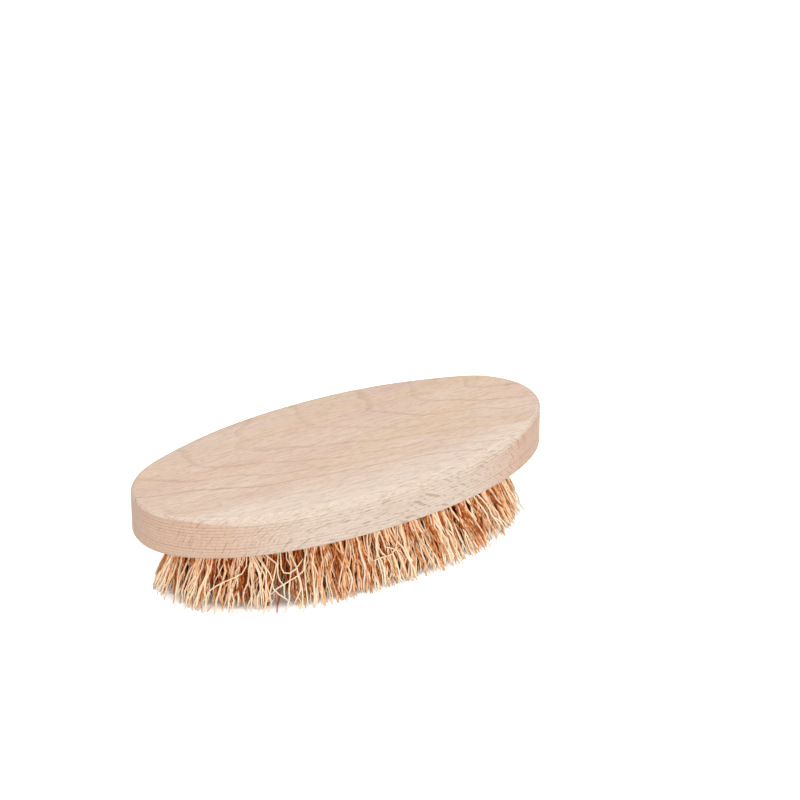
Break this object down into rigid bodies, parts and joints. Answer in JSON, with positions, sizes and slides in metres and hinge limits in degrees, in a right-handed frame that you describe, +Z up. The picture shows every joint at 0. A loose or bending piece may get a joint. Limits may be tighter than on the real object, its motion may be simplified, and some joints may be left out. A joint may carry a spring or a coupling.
{
  "type": "laundry brush",
  "caption": "Oval wooden laundry brush with stiff root-fibre tufts set in its flat underside, for scrubbing cloth by hand.",
  "frame": {"origin": "on the plane of the fibre tips, under the middle of the oval block", "axes": "+X along the block's long axis, +Y across it, +Z up from the tips to the back of the block"},
  "size_m": [0.165, 0.0746, 0.0405],
  "materials": {
    "beech": "pale steamed beech, sanded smooth and left without lacquer",
    "root_fibre": "stiff, crinkled straw-coloured plant root, matt"
  },
  "bodies": {
    "root": {"brush_block": "beech", "tuft_rim_01": "root_fibre", "tuft_rim_02": "root_fibre", "tuft_rim_03": "root_fibre", "tuft_rim_04": "root_fibre", "tuft_rim_05": "root_fibre", "tuft_rim_06": "root_fibre", "tuft_rim_07": "root_fibre", "tuft_rim_08": "root_fibre", "tuft_rim_09": "root_fibre", "tuft_rim_10": "root_fibre", "tuft_rim_11": "root_fibre", "tuft_rim_12": "root_fibre", "tuft_rim_13": "root_fibre", "tuft_rim_14": "root_fibre", "tuft_rim_15": "root_fibre", "tuft_rim_16": "root_fibre", "tuft_rim_17": "root_fibre", "tuft_rim_18": "root_fibre", "tuft_rim_19": "root_fibre", "tuft_rim_20": "root_fibre", "tuft_rim_21": "root_fibre", "tuft_rim_22": "root_fibre", "tuft_rim_23": "root_fibre", "tuft_rim_24": "root_fibre", "tuft_ring_01": "root_fibre", "tuft_ring_02": "root_fibre", "tuft_ring_03": "root_fibre", "tuft_ring_04": "root_fibre", "tuft_ring_05": "root_fibre", "tuft_ring_06": "root_fibre", "tuft_ring_07": "root_fibre", "tuft_ring_08": "root_fibre", "tuft_ring_09": "root_fibre", "tuft_ring_10": "root_fibre", "tuft_ring_11": "root_fibre", "tuft_ring_12": "root_fibre", "tuft_ring_13": "root_fibre", "tuft_ring_14": "root_fibre", "tuft_ring_15": "root_fibre", "tuft_ring_16": "root_fibre", "tuft_ring_17": "root_fibre", "tuft_ring_18": "root_fibre", "tuft_core_01": "root_fibre", "tuft_core_02": "root_fibre", "tuft_core_03": "root_fibre", "tuft_core_04": "root_fibre", "tuft_core_05": "root_fibre", "tuft_core_06": "root_fibre", "tuft_core_07": "root_fibre", "tuft_core_08": "root_fibre"}
  },
  "joints": []
}
